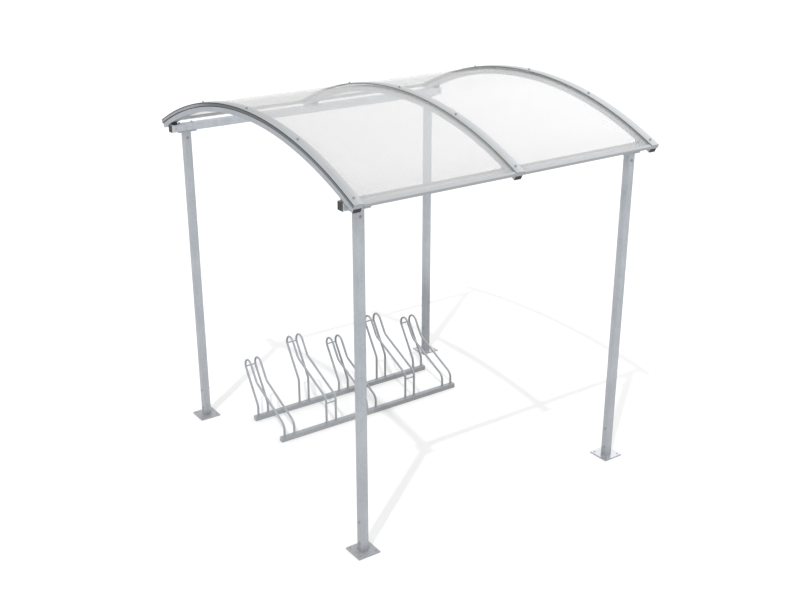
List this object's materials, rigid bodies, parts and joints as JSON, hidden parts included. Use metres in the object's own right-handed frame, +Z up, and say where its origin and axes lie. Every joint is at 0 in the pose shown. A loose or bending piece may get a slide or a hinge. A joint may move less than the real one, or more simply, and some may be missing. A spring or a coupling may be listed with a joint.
{
  "type": "bike shelter with a wheel rack",
  "caption": "Open bike shelter: galvanised posts and rails, arched clear twin-wall roof, five-place wheel rack.",
  "frame": {"origin": "on the ground at the centre of the four posts", "axes": "+X along the rails from the left end to the right end, +Y from the open front to the rear where the wheel rack stands, +Z up"},
  "size_m": [2.246, 2.404, 2.5083],
  "materials": {
    "galvanised_steel": "satin",
    "mill_aluminium": "satin",
    "stainless_screws": "satin",
    "clear_sheet": "gloss",
    "black_rubber": "matte",
    "black_plastic": "matte",
    "grey_plastic": "matte"
  },
  "bodies": {
    "root": {"post_front_left": "galvanised_steel", "foot_front_left": "galvanised_steel", "head_front_left": "galvanised_steel", "post_front_right": "galvanised_steel", "foot_front_right": "galvanised_steel", "head_front_right": "galvanised_steel", "post_rear_left": "galvanised_steel", "foot_rear_left": "galvanised_steel", "head_rear_left": "galvanised_steel", "post_rear_right": "galvanised_steel", "foot_rear_right": "galvanised_steel", "head_rear_right": "galvanised_steel", "rail_front": "galvanised_steel", "rail_rear": "galvanised_steel", "rail_end_plugs": "black_plastic", "arch_left": "galvanised_steel", "arch_middle": "galvanised_steel", "arch_right": "galvanised_steel", "arch_end_plugs": "black_plastic", "arch_pads": "black_rubber", "arch_brackets": "galvanised_steel", "roof_sheet_left": "clear_sheet", "roof_sheet_right": "clear_sheet", "edge_profiles_front": "mill_aluminium", "edge_profiles_rear": "mill_aluminium", "gaskets_left": "black_rubber", "glazing_bar_left": "mill_aluminium", "gaskets_middle": "black_rubber", "glazing_bar_middle": "mill_aluminium", "gaskets_right": "black_rubber", "glazing_bar_right": "mill_aluminium", "roof_screws": "stainless_screws", "rack_rail_front": "galvanised_steel", "rack_rail_rear": "galvanised_steel", "rack_end_plugs": "grey_plastic", "wheel_holder_1": "galvanised_steel", "wheel_holder_2": "galvanised_steel", "wheel_holder_3": "galvanised_steel", "wheel_holder_4": "galvanised_steel", "wheel_holder_5": "galvanised_steel"}
  },
  "joints": []
}
